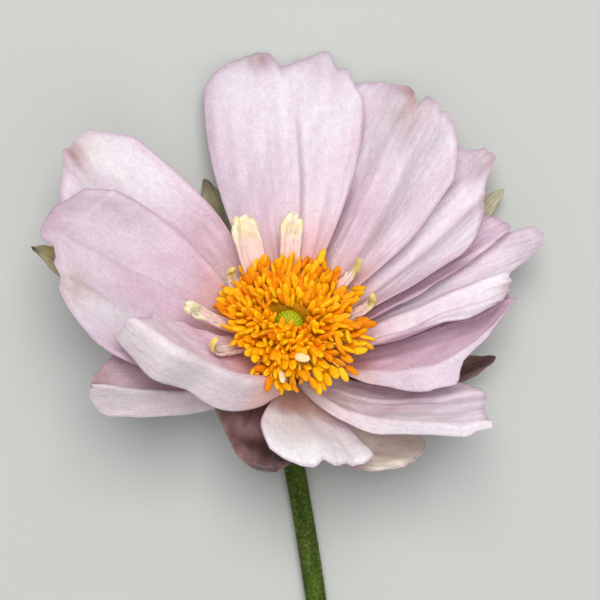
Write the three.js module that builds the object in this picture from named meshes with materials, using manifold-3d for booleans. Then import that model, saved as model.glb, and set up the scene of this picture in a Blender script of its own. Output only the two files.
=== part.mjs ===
// A single Japanese anemone flower on a cut stem, laid on its back: thirteen petal-like tepals in a contorted bowl,
// five narrow outer tepals behind them, seven petal-like staminodes, a boss of stamens and a green head of carpels.
// Millimetres, +Z up. The flower opens upwards and its stem lies along the surface towards -Y.
import * as THREE from "three";
import { mergeVertices } from "three/addons/utils/BufferGeometryUtils.js";
import Module from "manifold-3d";

const wasm = await Module();
wasm.setup();

// Driving dimensions
const TILT = 38; // degrees that the flower's axis leans from vertical, away from the stem
const TURN = 10; // degrees that the lean turns to the right of +Y
const HEAD_HEIGHT = 7.65; // height of the middle of the receptacle above the surface
const BLADE = 0.6; // thickness of a tepal
const OUTER_BLADE = 0.7; // thickness of an outer tepal
const RECEPTACLE_RADIUS = 2.9;
const ROOT_RADIUS = 3.4; // where the blades begin, clear of the receptacle
const CLAW = 1.3; // half the width of a blade at its root
const STEM_RADIUS = 1.4;
const STEM_REACH = 76; // how far the cut end lies from the head
const STAMENS = 132;
const BOSS_CENTRE = 1.8; // height on the head's axis that the stamens spread from
const FILAMENT = 0.22; // radius
const ANTHER_LENGTH = 2;
const ANTHER_WIDTH = 1.15;
const CARPEL_RADIUS = 2;
const CARPEL_HEIGHT = 4.4;
const GOLDEN_ANGLE = 137.508;

// Each blade: azimuth round the flower's axis (0 right, 90 up), length, half widths on its
// counterclockwise and clockwise sides, height of its root, the angle that its midrib makes with the
// flower's axis from root to tip (rise), the angle that its margins turn inwards by (cup) and the
// twist of its cross-section. A bend turns the midrib sideways, and a roll bends one margin outwards
// along a ridge, which is straight or bowed.
const TEPALS = [
  { az: 101, length: 36, width: [11, 10.2], root: 1.2, rise: [60, 58, 58, 66, 77], cup: [45, 30, 15, 0],
    twist: [-8, -8], shoulder: [0.14, 0.2], square: 4, widest: 0.8, narrow: 0.05,
    margin: [[-0.8, 0], [-0.66, -0.02], [-0.55, 0.03], [-0.3, -0.01], [0.06, -0.05], [0.25, 0.01], [0.6, 0]] },
  { az: 68, length: 35, width: [11, 10.4], root: 0.2, rise: [60, 58, 56, 56, 58], cup: [45, 30, 15, 5],
    twist: [-12, -12], shoulder: [0.1, 0.26], widest: 0.75, narrow: 0.1, notches: [[0.05, 0.07, 0.04]] },
  { az: 46, length: 34, width: [8, 9], root: -0.8, rise: [60, 59, 57, 58, 60], cup: [50, 35, 20, 10],
    margin: [[-0.85, 0], [-0.65, -0.04], [-0.45, -0.08], [-0.28, -0.09], [-0.12, -0.03], [0, 0.01], [0.3, 0.02], [0.5, 0]],
    twist: [-14, -16], shoulder: [0.15, 0.35], square: 2.2 },
  { az: 30, length: 31, width: [6, 2.8], root: -1.75, rise: [61, 61, 60, 61, 61], cup: [50, 40, 20, 10],
    margin: [[-0.8, -0.04], [-0.5, -0.09], [-0.2, -0.05], [0, -0.01], [0.2, 0]], square: 1.6,
    twist: [-16, -16], shoulder: [0.1, 0.45] },
  { az: 18, length: 33.2, width: [8, 6.6], root: -2.75, rise: [63, 62, 60, 59, 58], cup: [50, 40, 30, 20],
    margin: [[-1, 0.02], [-0.8, 0.02], [-0.6, -0.04], [-0.4, -0.1], [-0.2, -0.14], [0, -0.14], [0.15, -0.1], [0.3, -0.03],
      [0.5, 0.01], [0.8, 0.03], [1, 0]],
    twist: [-16, -18], shoulder: [0, 0.4], square: 2 },
  { az: 12.5, length: 28.5, width: [6.5, 12], root: -3.7, rise: [71, 69, 62, 56, 50], cup: [50, 40, 30, 20],
    margin: [[-1, 0.06], [-0.88, 0.1], [-0.76, 0.06], [-0.64, 0.02], [-0.3, 0.02], [0, 0], [0.06, 0.035], [0.15, 0]],
    twist: [-14, -14], shoulder: [0.1, 0.5], square: 1.3, columns: 14,
    roll: { side: -1, from: 0.76, to: 0.05, bowed: 3.5, soft: 0.16, angle: -78, start: 0.2, end: 1.2 } },
  { az: -25, length: 26.3, width: [5, 8.5], root: -4.5, rise: [90, 76, 60, 57, 59], cup: [50, 30, 8, 0],
    twist: [-20, -16], shoulder: [0.22, -0.1], square: 2, widest: 0.95, flare: 0.56, bend: 22 },
  { az: -68, length: 20.2, width: [7.6, 6.8], root: -4.95, rise: [82, 67, 53, 58, 83], cup: [50, 20, -10, -20],
    margin: [[-0.35, 0], [-0.1, -0.05], [0.1, -0.01], [0.3, -0.04], [0.5, -0.02], [0.62, -0.04], [0.75, 0]],
    twist: [-24, -14], shoulder: [0.2, 0.2] },
  { az: -46, length: 21.5, width: [8.6, 3.4], root: -6.1, claw: 1, rise: [103, 97, 78, 48, 50], cup: [50, 30, 10, 0],
    twist: [-6, -8], shoulder: [0.23, 0.17], bend: 18 },
  { az: 227, length: 22.3, width: [12, 3.5], root: 1.4, rise: [80, 56, 47, 42, 42], cup: [57, 43, 15, -8],
    twist: [0, 0], shoulder: [0.05, 0.4], square: 1.5, flare: 0.3, bend: -56, columns: 14,
    notches: [[0, 0.4, 0.14]], roll: { side: 1, from: 0.53, to: 0.55, soft: 0.2, angle: -118, start: 0, end: 1.2 } },
  { az: 224, length: 26.5, width: [4.5, 5.5], root: -1.8, rise: [82, 74, 66, 62, 60], cup: [50, 40, 30, 20],
    margin: [[-1, -0.06], [-0.6, -0.06], [-0.3, -0.02], [0, 0]],
    twist: [0, -8], bend: -15, columns: 12,
    roll: { side: 1, from: 0.3, to: -0.1, soft: 0.25, angle: -90, start: 0.3, end: 1.2 } },
  { az: 186, length: 33, width: [12.2, 10.6], root: -0.4, rise: [66, 62, 57, 54, 52], cup: [50, 40, 30, 10],
    margin: [[-1, -0.03], [-0.7, 0], [-0.3, 0], [-0.12, -0.01], [0, -0.04], [0.12, -0.055], [0.2, -0.04], [0.3, -0.05],
      [0.5, -0.03], [0.8, 0]],
    twist: [-10, -14], shoulder: [0.45, 0.08], square: 2 },
  { az: 160, length: 36.2, width: [10, 8.6], root: -1.8, rise: [63, 61, 58, 54, 50], cup: [50, 40, 20, 5],
    margin: [[-1, -0.03], [-0.6, 0], [-0.3, 0], [-0.1, -0.012], [0.05, 0], [0.2, -0.03], [0.4, -0.06], [0.7, -0.05], [1, 0]],
    twist: [-14, -12], shoulder: [0.3, 0.13] },
];

const POINTED = { shoulder: [0.5, 0.5], square: 1.6, cup: [60, 60, 50, 40], claw: 0.9, rows: 9, columns: 6 };
const OUTER_TEPALS = [
  { ...POINTED, az: 181, length: 34, width: [5, 5], root: -3.4, rise: [76, 70, 60, 54, 52] },
  { ...POINTED, az: 126, length: 23.5, width: [3.8, 3.8], root: -3.2, rise: [66, 66, 65, 64, 62] },
  { ...POINTED, az: 42.5, length: 35, width: [4.6, 4], root: -4.6, rise: [77, 69, 59, 53, 52],
    cup: [40, 40, 40, 40], twist: [10, 6] },
  { ...POINTED, az: 6, length: 26.5, width: [4, 4], root: -5.6, rise: [98, 90, 76, 54, 44] },
  { ...POINTED, az: 270, length: 20.3, width: [3.8, 10.6], shoulder: [0.3, 0.64], square: 0.95, flare: 0.45, root: -6.1,
    rise: [94, 86, 66, 45, 28], margin: [[-1, 0], [-0.8, -0.1], [-0.5, -0.16], [-0.2, -0.1], [0, -0.02], [0.3, 0]],
    rows: 10, columns: 8 },
];

const radians = THREE.MathUtils.degToRad;
const clamp = THREE.MathUtils.clamp;

function smooth(from, to, x) {
  const t = clamp((x - from) / (to - from), 0, 1);
  return t * t * (3 - 2 * t);
}

// Catmull-Rom through equally spaced values, at s from 0 to 1
function spline(values, s) {
  const last = values.length - 1;
  const x = clamp(s, 0, 1) * last;
  const i = Math.min(Math.floor(x), last - 1);
  const t = x - i;
  const at = (k) => values[clamp(i + k, 0, last)];
  const [a, b, c, d] = [at(-1), at(0), at(1), at(2)];
  return 0.5 * (2 * b + (c - a) * t + (2 * a - 5 * b + 4 * c - d) * t * t + (3 * b - a - 3 * c + d) * t ** 3);
}

// The midrib as points with their cross direction and inner normal, in the plane of azimuth 0
function midribOf(blade) {
  const steps = 80;
  const reach = 1.08;
  const stations = [];
  const point = new THREE.Vector3(blade.radius ?? ROOT_RADIUS, 0, blade.root);
  for (let i = 0; i <= steps; i++) {
    const s = (i / steps) * reach;
    const rise = radians(spline(blade.rise, s));
    const twist = radians(spline(blade.twist ?? [0, 0], s));
    const bend = radians((blade.bend ?? 0) * Math.min(s, 1));
    const outwards = new THREE.Vector3(Math.sin(rise), 0, Math.cos(rise));
    const inwards = new THREE.Vector3(-Math.cos(rise), 0, Math.sin(rise));
    const aside = new THREE.Vector3(0, 1, 0);
    const along = outwards.clone().multiplyScalar(Math.cos(bend)).addScaledVector(aside, Math.sin(bend));
    const across = aside.clone().multiplyScalar(Math.cos(bend)).addScaledVector(outwards, -Math.sin(bend));
    const turnedAcross = across.clone().multiplyScalar(Math.cos(twist)).addScaledVector(inwards, Math.sin(twist));
    const normal = inwards.clone().multiplyScalar(Math.cos(twist)).addScaledVector(across, -Math.sin(twist));
    stations.push({ point: point.clone(), across: turnedAcross, normal });
    point.addScaledVector(along, (blade.length * reach) / steps);
  }
  return (s) => {
    const x = clamp(s / reach, 0, 1) * steps;
    const i = Math.min(Math.floor(x), steps - 1);
    const mix = (key) => stations[i][key].clone().lerp(stations[i + 1][key], x - i);
    return { point: mix("point"), across: mix("across"), normal: mix("normal") };
  };
}

// A small change of the outline's reach, read between the points (v, change) of its margin.
function marginShift(points, v) {
  if (points.length === 0 || v < points[0][0] || v > points[points.length - 1][0]) return 0;
  const i = Math.max(1, points.findIndex(([at]) => at >= v));
  const [from, low] = points[i - 1];
  const [to, high] = points[i];
  return low + ((high - low) * (v - from)) / (to - from);
}

// The middle surface of a blade: u runs from root to tip, v from -1 on the clockwise margin to 1
function surfaceOf(blade) {
  const midrib = midribOf(blade);
  const shoulders = blade.shoulder ?? [0.16, 0.16];
  const widest = blade.widest ?? 0.68;
  return (u, v) => {
    const side = v > 0 ? 0 : 1;
    const across = Math.abs(v);
    let end = 1 - shoulders[side] * across ** (blade.square ?? 3);
    for (const [centre, width, depth] of blade.notches ?? []) end -= depth * Math.exp(-(((v - centre) / width) ** 2));
    end += marginShift(blade.margin ?? [], v);
    const s = u * end;
    const claw = blade.claw ?? CLAW;
    const swell = Math.sin((Math.PI / 2) * Math.min(s / widest, 1)) ** (blade.flare ?? 0.95);
    const taper = 1 - (blade.narrow ?? 0.15) * clamp((s - widest) / (1 - widest), 0, 1) ** 2;
    const half = (claw + (blade.width[side] - claw) * swell) * taper;
    const steps = 14;
    let out = 0;
    let lift = 0;
    for (let i = 0; i < steps; i++) {
      const q = (across * (i + 0.5)) / steps;
      let angle = spline(blade.cup, s) * q;
      const roll = blade.roll;
      if (roll && roll.side > 0 === v > 0) {
        const ridge = roll.from + (roll.to - roll.from) * s ** (roll.bowed ?? 1);
        const along = smooth(roll.start - 0.12, roll.start + 0.12, s) * (1 - smooth(roll.end - 0.12, roll.end + 0.12, s));
        angle += roll.angle * smooth(0, 1, (q - ridge) / roll.soft) * along;
      }
      out += Math.cos(radians(angle));
      lift += Math.sin(radians(angle));
    }
    const scale = (half * across) / steps;
    const rib = midrib(s);
    return rib.point.addScaledVector(rib.across, out * scale * Math.sign(v)).addScaledVector(rib.normal, lift * scale);
  };
}

// A closed blade of even thickness round its middle surface, turned to its azimuth. Both faces are
// split along the same diagonals, the shorter one of each square.
function bladeGeometry(blade, thickness) {
  const rows = blade.rows ?? 9;
  const columns = blade.columns ?? 8;
  const surface = surfaceOf(blade);
  const tiny = 1e-3;
  const inner = [];
  const outer = [];
  for (let i = 0; i <= rows; i++) {
    for (let j = 0; j <= columns; j++) {
      const u = i / rows;
      const v = (2 * j) / columns - 1;
      const alongU = surface(Math.min(u + tiny, 1), v).sub(surface(Math.max(u - tiny, 0), v));
      const alongV = surface(u, Math.min(v + tiny, 1)).sub(surface(u, Math.max(v - tiny, -1)));
      const normal = alongU.cross(alongV).normalize();
      inner.push(surface(u, v).addScaledVector(normal, thickness / 2));
      outer.push(surface(u, v).addScaledVector(normal, -thickness / 2));
    }
  }
  const points = [...inner, ...outer];
  const at = (i, j) => i * (columns + 1) + j;
  const faces = [];
  for (let i = 0; i < rows; i++) {
    for (let j = 0; j < columns; j++) {
      const [a, b, c, d] = [at(i, j), at(i + 1, j), at(i + 1, j + 1), at(i, j + 1)];
      const straight = points[a].distanceTo(points[c]) <= points[b].distanceTo(points[d]);
      const halves = straight ? [[a, b, c], [a, c, d]] : [[a, b, d], [b, c, d]];
      for (const half of halves) faces.push(half, half.map((k) => k + inner.length).reverse());
    }
  }
  const rim = [];
  for (let j = 0; j < columns; j++) rim.push(at(0, j));
  for (let i = 0; i < rows; i++) rim.push(at(i, columns));
  for (let j = columns; j > 0; j--) rim.push(at(rows, j));
  for (let i = rows; i > 0; i--) rim.push(at(i, 0));
  rim.forEach((k, n) => {
    const next = rim[(n + 1) % rim.length];
    faces.push([k, next, next + inner.length], [k, next + inner.length, k + inner.length]);
  });
  const geometry = new THREE.BufferGeometry().setFromPoints(points);
  geometry.setIndex(faces.flat());
  geometry.rotateZ(radians(blade.az));
  return geometry;
}

// Joining closed geometries into one solid
function solidOf(geometry) {
  const plain = geometry.clone();
  for (const name of ["normal", "uv"]) plain.deleteAttribute(name);
  const merged = mergeVertices(plain, 1e-4);
  return new wasm.Manifold(
    new wasm.Mesh({
      numProp: 3,
      vertProperties: merged.attributes.position.array,
      triVerts: new Uint32Array(merged.index.array),
    }),
  );
}

// Only the outer skin of the joined pieces is kept, so a hollow that they close is filled
function fused(geometries) {
  const joined = geometries.map(solidOf).reduce((whole, piece) => whole.add(piece));
  const solid = joined.decompose().reduce((a, b) => (a.volume() > b.volume() ? a : b));
  const mesh = solid.getMesh();
  const geometry = new THREE.BufferGeometry();
  geometry.setAttribute("position", new THREE.BufferAttribute(mesh.vertProperties, 3));
  geometry.setIndex(new THREE.BufferAttribute(mesh.triVerts, 1));
  return geometry;
}

function lathe(profile, sides) {
  const points = profile.map(([radius, height]) => new THREE.Vector2(radius, height));
  return new THREE.LatheGeometry(points, sides).rotateX(Math.PI / 2);
}

const random = (() => {
  let state = 20260;
  return () => {
    state = (state * 1664525 + 1013904223) % 4294967296;
    return state / 4294967296;
  };
})();

// The head's frame: its axis is +Z here, and the group leans it over
const head = new THREE.Group();
head.position.set(0, 0, HEAD_HEIGHT);
head.rotation.set(-radians(TILT), 0, -radians(TURN), "ZYX");
head.updateMatrix();

const colours = {
  tepal: 0xe6d3e2,
  outer: 0x8a8b5a,
  staminode: 0xf3e3cf,
  anther: 0xf2a516,
  carpel: 0x8fa32a,
  stem: 0x3f5a24,
};

function named(name, geometry, colour, roughness) {
  const drawn = geometry.toNonIndexed();
  drawn.computeVertexNormals();
  const material = new THREE.MeshStandardMaterial({ color: colour, roughness, metalness: 0 });
  const mesh = new THREE.Mesh(drawn, material);
  mesh.name = name;
  return mesh;
}

function makeTepals() {
  return TEPALS.map((blade, i) =>
    named("tepal_" + String(i + 1).padStart(2, "0"), bladeGeometry(blade, BLADE), colours.tepal, 0.6),
  );
}

function makeOuterTepals() {
  return OUTER_TEPALS.map((blade, i) =>
    named("outer_tepal_" + (i + 1), bladeGeometry(blade, OUTER_BLADE), colours.outer, 0.75),
  );
}

// The stem: a neck that bends down from the head to the surface, then a long gentle bow along it
function makeStem() {
  const lean = new THREE.Vector3(0, 0, 1).applyEuler(head.rotation);
  const start = head.position.clone().addScaledVector(lean, -1.5);
  const drop = start.clone().addScaledVector(lean, -5);
  const touch = new THREE.Vector3(0.16, -11, STEM_RADIUS);
  const heading = new THREE.Vector3(0.2, -1, 0);
  const path = new THREE.CurvePath();
  path.add(new THREE.CubicBezierCurve3(start, drop, touch.clone().addScaledVector(heading, -4.5), touch));
  const end = new THREE.Vector3(7.8, -STEM_REACH, STEM_RADIUS);
  const bow = touch.clone().addScaledVector(heading, (STEM_REACH - 11) / 2);
  path.add(new THREE.QuadraticBezierCurve3(touch, bow, end));
  const section = new THREE.Shape();
  section.absarc(0, 0, STEM_RADIUS, 0, 2 * Math.PI);
  const stalk = new THREE.ExtrudeGeometry(section, { steps: 24, bevelEnabled: false, extrudePath: path, curveSegments: 8 });
  const receptacle = lathe(
    [[0, -6.4], [1.4, -6.4], [2.4, -6.1], [RECEPTACLE_RADIUS, -5.4], [RECEPTACLE_RADIUS, 1.7], [2.2, 2.5],
      [0, 2.7]],
    12,
  ).applyMatrix4(head.matrix);
  return named("stem", fused([stalk, receptacle]), colours.stem, 0.7);
}

// Narrow petal-like blades between the stamens and the tepals, with hooked or hooded tips
const STAMINODES = [
  { az: 131, length: 14.2, width: [2.1, 2.1], root: 2.2, rise: [56, 50, 44, 40, 30], cup: [30, 40, 60, 70] },
  { az: 99, length: 13.4, width: [1.5, 1.5], root: 2.3, rise: [56, 50, 44, 40, 30], cup: [30, 40, 60, 70] },
  { az: 46, length: 12, width: [0.75, 0.75], root: 2.15, rise: [56, 48, 42, 44, -20], cup: [20, 30, 40, 40] },
  { az: 17, length: 11.6, width: [0.75, 0.75], root: 2, rise: [58, 54, 46, 36, -40], cup: [20, 30, 40, 40] },
  { az: 197, length: 12.8, width: [1.3, 1.3], root: 2.55, rise: [66, 60, 55, 50, 40], cup: [40, 60, 80, 90] },
  { az: 222, length: 12.2, width: [0.75, 0.75], root: 2.7, rise: [68, 66, 62, 40, -60], cup: [20, 30, 30, 30] },
  { az: 155, length: 10.2, width: [0.9, 0.9], root: 2.3, rise: [58, 54, 46, 30, -50], cup: [20, 30, 30, 30] },
];

// A stamen stands in the cushion and its anther lies on a dome, from the carpels out to the rim of the
// boss. The boss leans to the front, and its rim stands up clear of a staminode and of the folded tepal.
function stamenAt(index) {
  const inner = 3.1;
  const outer = 10.5;
  const share = (index + 0.5) / STAMENS;
  const s = (Math.sqrt(inner ** 2 + (outer ** 2 - inner ** 2) * share) - inner) / (outer - inner);
  const az = radians(index * GOLDEN_ANGLE + (random() - 0.5) * 12);
  const beside = STAMINODES.some((blade) => Math.cos(az - radians(blade.az)) > Math.cos(radians(15)));
  const folded = Math.cos(az - radians(225)) > Math.cos(radians(24));
  const widest = folded ? 50 : beside ? 46 : 66 - 8 * Math.sin(az);
  const polar = radians(33 + (widest - 33) * s + (random() - 0.5) * 4);
  const reach = 6 + (beside || folded ? 4.2 : 5.6 + 0.5 * Math.cos(az)) * s + (random() - 0.5) * 1.2;
  const radial = new THREE.Vector3(Math.cos(az), Math.sin(az), 0);
  const foot = radial.clone().multiplyScalar(3 + 0.9 * s);
  foot.z = 4.8 - 0.2 * s;
  const tip = radial.clone().multiplyScalar(Math.sin(polar) * reach);
  tip.z = BOSS_CENTRE + Math.cos(polar) * reach;
  tip.add(new THREE.Vector3(random() - 0.5, random() - 0.5, random() - 0.5).multiplyScalar(0.8));
  return { foot, tip };
}

function turnedTo(geometry, direction, place) {
  const turn = new THREE.Quaternion().setFromUnitVectors(new THREE.Vector3(0, 1, 0), direction);
  return geometry.applyQuaternion(turn).translate(place.x, place.y, place.z);
}

// Each stamen is a slim filament that swells into its anther, sunk in the cushion round the carpels
function makeStamens() {
  const cushion = [[2.5, 3.1], [3.2, 3.3], [4.2, 4.3], [4.5, 5], [4.1, 5.6], [3.3, 5.7], [2.5, 5.1], [2.5, 3.1]];
  const pieces = [lathe(cushion, 16)];
  for (let i = 0; i < STAMENS; i++) {
    const { foot, tip } = stamenAt(i);
    const length = tip.distanceTo(foot);
    const profile = [[0, 0], [FILAMENT, 0], [ANTHER_WIDTH / 2, length - ANTHER_LENGTH * 0.6], [0, length]];
    const club = new THREE.LatheGeometry(profile.map(([x, y]) => new THREE.Vector2(x, y)), 4);
    pieces.push(turnedTo(club, tip.clone().sub(foot).normalize(), foot));
  }
  return named("stamens", fused(pieces), colours.anther, 0.55);
}

// The head of carpels: a dome covered in low bumps, one for each pistil
function makeCarpels() {
  const dome = new THREE.IcosahedronGeometry(CARPEL_RADIUS, 3);
  const position = dome.getAttribute("position");
  const point = new THREE.Vector3();
  for (let i = 0; i < position.count; i++) {
    point.fromBufferAttribute(position, i);
    const bump = 1 + 0.04 * Math.cos(7 * point.x) * Math.cos(7 * point.y) * Math.cos(7 * point.z);
    point.multiplyScalar(bump);
    position.setXYZ(i, point.x, point.y, Math.max(point.z, -1.3) + CARPEL_HEIGHT);
  }
  return named("carpels", fused([dome]), colours.carpel, 0.6);
}

function makeStaminodes() {
  const shared = { rows: 8, columns: 4, shoulder: [0.12, 0.12], claw: 0.5, widest: 0.75, flare: 1.4 };
  return STAMINODES.map((blade, i) =>
    named("staminode_" + (i + 1), bladeGeometry({ ...shared, ...blade }, BLADE), colours.staminode, 0.6),
  );
}

const group = new THREE.Group();
head.add(...makeTepals(), ...makeOuterTepals(), ...makeStaminodes(), makeStamens(), makeCarpels());
group.add(head, makeStem());

// Centred on its footprint, with the surface at height 0
const box = new THREE.Box3().setFromObject(group, true);
const middle = box.getCenter(new THREE.Vector3());
for (const child of group.children) child.position.sub(new THREE.Vector3(middle.x, middle.y, box.min.z));

export default group;
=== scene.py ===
import math
import random
import bpy
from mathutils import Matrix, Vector
import numpy as np


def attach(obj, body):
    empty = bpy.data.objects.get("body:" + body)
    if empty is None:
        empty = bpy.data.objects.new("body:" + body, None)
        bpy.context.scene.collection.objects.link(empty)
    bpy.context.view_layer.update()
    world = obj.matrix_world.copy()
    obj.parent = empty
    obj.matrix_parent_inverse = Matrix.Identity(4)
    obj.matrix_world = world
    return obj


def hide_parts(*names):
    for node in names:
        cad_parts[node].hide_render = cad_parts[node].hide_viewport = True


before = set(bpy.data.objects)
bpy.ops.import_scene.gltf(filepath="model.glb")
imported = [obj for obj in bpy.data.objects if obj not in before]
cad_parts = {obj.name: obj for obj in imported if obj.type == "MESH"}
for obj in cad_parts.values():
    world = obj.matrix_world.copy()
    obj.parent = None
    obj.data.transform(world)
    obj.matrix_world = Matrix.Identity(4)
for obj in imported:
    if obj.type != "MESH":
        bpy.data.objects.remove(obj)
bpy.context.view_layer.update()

# The flower is worked out in millimetres in the head's own frame: its axis is +Z and the receptacle
# is at the origin. place() leans the head over and puts it where the frame has it.
MM_IN_M = 1000
HEAD = np.array([-0.9211, 18.3605, 7.6516])
TILT = 38
TURN = 10
LOWEST = 0.02  # no blade and no hair reaches below this height
ROOT_RADIUS = 3.4  # from the axis to the roots of the blades
GOLDEN_ANGLE = 137.508

# The camera looks straight down, beside the receptacle.
CAMERA_FROM_HEAD = np.array([1.95, 5.98, 260])
PHOTO_WIDTH = 78  # across the picture at the depth of the receptacle


def new_object(name, data):
    obj = bpy.data.objects.new(name, data)
    bpy.context.collection.objects.link(obj)
    return obj


def make_camera():
    camera = new_object("camera", bpy.data.cameras.new("camera"))
    camera.data.angle = 2 * math.atan(PHOTO_WIDTH / 2 / CAMERA_FROM_HEAD[2])
    camera.data.clip_start = 0.01
    camera.location = (HEAD + CAMERA_FROM_HEAD) / MM_IN_M
    bpy.context.scene.camera = camera


# Small helpers
def smooth(a, b, x):
    """0 up to a and 1 from b on, with a soft step between."""
    t = np.clip((np.asarray(x, float) - a) / (b - a), 0, 1)
    return t * t * (3 - 2 * t)


def stretch(s, begin, finish, lead, rise, fall):
    """1 from begin to finish and 0 elsewhere, with soft ends."""
    return smooth(begin - lead, begin + rise, s) * (1 - smooth(finish - fall, finish + lead, s))


def hill(x, at, wide):
    """1 at one place, and softly down to 0 on both sides of it."""
    return np.exp(-(((x - at) / wide) ** 2))


def spline(values, s):
    """Catmull-Rom through equally spaced values, at s from 0 to 1."""
    v = np.asarray(values, float)
    last = len(v) - 1
    x = np.clip(s, 0, 1) * last
    i = np.minimum(np.floor(x).astype(int), last - 1)
    t = x - i
    a, b, c, d = (v[np.clip(i + k, 0, last)] for k in (-1, 0, 1, 2))
    return 0.5 * (2 * b + (c - a) * t + (2 * a - 5 * b + 4 * c - d) * t * t + (3 * b - a - 3 * c + d) * t**3)


def bezier(knots, t):
    """A place on the curve from the first knot to the last."""
    while len(knots) > 1:
        knots = [a * (1 - t) + b * t for a, b in zip(knots, knots[1:])]
    return knots[0]


def rgb(r, g, b):
    """A screen colour as linear light."""
    c = np.array([r, g, b]) / 255
    return np.where(c <= 0.04045, c / 12.92, ((c + 0.055) / 1.055) ** 2.4)


def mix(a, b, t):
    t = np.asarray(t)[..., None]
    return a * (1 - t) + b * t


def ripple(x, y, seed, count=6, low=0.6, high=2.4):
    """A soft seeded field of about -1 to 1."""
    r = np.random.RandomState(seed)
    total = np.zeros(np.broadcast(x, y).shape)
    for _ in range(count):
        angle = r.uniform(0, 2 * math.pi)
        f = r.uniform(low, high)
        across = x * math.cos(angle) + y * math.sin(angle)
        total = total + np.sin(2 * math.pi * f * across + r.uniform(0, 6.3))
    return total / math.sqrt(count)


def unit(way):
    return way / np.linalg.norm(way, axis=-1, keepdims=True)


def turned(degrees):
    """The turn about +Z, as a matrix."""
    a = math.radians(degrees)
    return np.array([[math.cos(a), -math.sin(a), 0], [math.sin(a), math.cos(a), 0], [0, 0, 1]])


def lean():
    """The turn from the head's own frame to the part's, as a matrix."""
    t = math.radians(TILT)
    tilt = np.array([[1, 0, 0], [0, math.cos(t), math.sin(t)], [0, -math.sin(t), math.cos(t)]])
    return turned(-TURN) @ tilt


LEAN = lean()


def place(points):
    return points @ LEAN.T + HEAD


def circle(count):
    """Angles at equal steps round a circle."""
    return [2 * math.pi * k / count for k in range(count)]


def ring_faces(rings, sides):
    """Faces between rings of points that follow one another."""
    faces = []
    for i in range(rings - 1):
        for k in range(sides):
            a = i * sides + k
            b = i * sides + (k + 1) % sides
            faces.append((a, b, b + sides, a + sides))
    return faces


def shifted(faces, first):
    """The same faces for points that are numbered from first."""
    return [tuple(first + k for k in face) for face in faces]


class Pile:
    """Points, faces and colours of the shapes that make up one piece."""

    def __init__(self):
        self.points = []
        self.faces = []
        self.tint = []

    def add(self, points, faces, tint):
        """Adds a shape. tint is one colour, or one for each point."""
        self.faces += shifted(faces, len(self.points))
        self.points += list(points)
        self.tint += list(np.broadcast_to(tint, (len(points), 3)))


def add_object(name, points, faces, layers, material, nodes):
    """A smooth piece that stands for CAD nodes. layers are values kept on its points."""
    mesh = bpy.data.meshes.new(name)
    mesh.from_pydata((np.asarray(points) / MM_IN_M).tolist(), [], faces)
    mesh.validate()
    for key, values in layers.items():
        values = np.asarray(values, float)
        if key == "tint":
            full = np.concatenate([values, np.ones((len(values), 1))], 1)
            mesh.attributes.new(key, "FLOAT_COLOR", "POINT").data.foreach_set("color", full.ravel())
        else:
            mesh.attributes.new(key, "FLOAT_VECTOR", "POINT").data.foreach_set("vector", values.ravel())
    mesh.polygons.foreach_set("use_smooth", [True] * len(mesh.polygons))
    mesh.materials.append(material)
    obj = new_object(name, mesh)
    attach(obj, "root")
    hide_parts(*nodes)


# The blades
# v goes across a blade, 1 at its counterclockwise margin and -1 at the other, and s along it from 0 to 1.
# A side is 1 or -1 likewise. Angles are in degrees. notches, margin, pleats, creases, waves, patches and
# stains are in percent, and depths and steps of pleats, creases and waves in hundredths of a millimetre.
#   az: azimuth round the axis, 0 right and 90 up; width: half widths on the two sides
#   root, claw: height and half width of the root; widest: s of the widest place
#   flare, narrow: power of the widening, and share of the width that is lost at the tip
#   rise, cup, twist, bend: angles of the midrib from the axis, the margins, the section, and sideways
#   shoulder, square: how far the two margins end below the tip, and how suddenly
#   notches: (v, width, depth); margin: (v, shift) along the tip; swells: (side, s, reach, more)
#   roll: (side, v of the ridge at root and tip, softness, angle, begin, finish) of a rolled margin
#   bowed, ridge: power of the ridge's course, and the step beside it
#   fold: (v, s, v, s, slope) of a line over which the tip bends back
#   pleats: (v at root and tip, width, depth, begin, finish)
#   creases: (v at root and tip, step, reach, begin, finish); waves: (side, depth, count, phase, begin)
#   rough: share of the fine unevenness; bulb: thickening of the tip
#   tone, lip: colours of the skin and of a rolled margin; pink, deep, dust, lip_pink: shares of tints;
#   some tones are painted light and some painted shade, and each lip colour is painted light
#   green, pale, plum, tip: green of an outer tepal, and shares of pale olive, dark red and dark tip
#   patches: (s, v, height, width, depth, colour); stains: (u, v, height, width, depth), u 1 at the outline
# Patches are soft spots of the skin's own tints, of painted shade and of painted light.
CLAW = 1.3
# Near-white for patches: partly the tepals' own white and partly painted light, as painted highlights on
# bulges and as light over cast shadows.
WHITE_AND_PAINTED_LIGHT = rgb(247, 241, 244)
# Grey-mauve for patches: partly the tepals' own greyer tone and partly painted shade on tips, margins and
# halves that turn from the light.
GREY_MAUVE_AND_PAINTED_SHADE = rgb(194, 174, 186)
# Darker rose for patches: painted shade low on the tepals, under their neighbours.
ROSE_PAINTED_SHADE = rgb(200, 164, 176)
SOFT_PINK = rgb(224, 184, 204)
ROSE = rgb(240, 190, 196)
LILAC = rgb(206, 184, 198)
# Dusky mauve for patches: painted shade on margins that turn away from the light.
DUSKY_PAINTED_SHADE = rgb(174, 155, 168)
MOTTLED = rgb(222, 218, 220)
GREY_BROWN = rgb(200, 184, 172)
CREAM_WHITE = rgb(240, 230, 218)


def tepal(az, length, width, root, rise, cup, **more):
    return dict(more, az=az, length=length, width=width, root=root, rise=rise, cup=cup)


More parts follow.
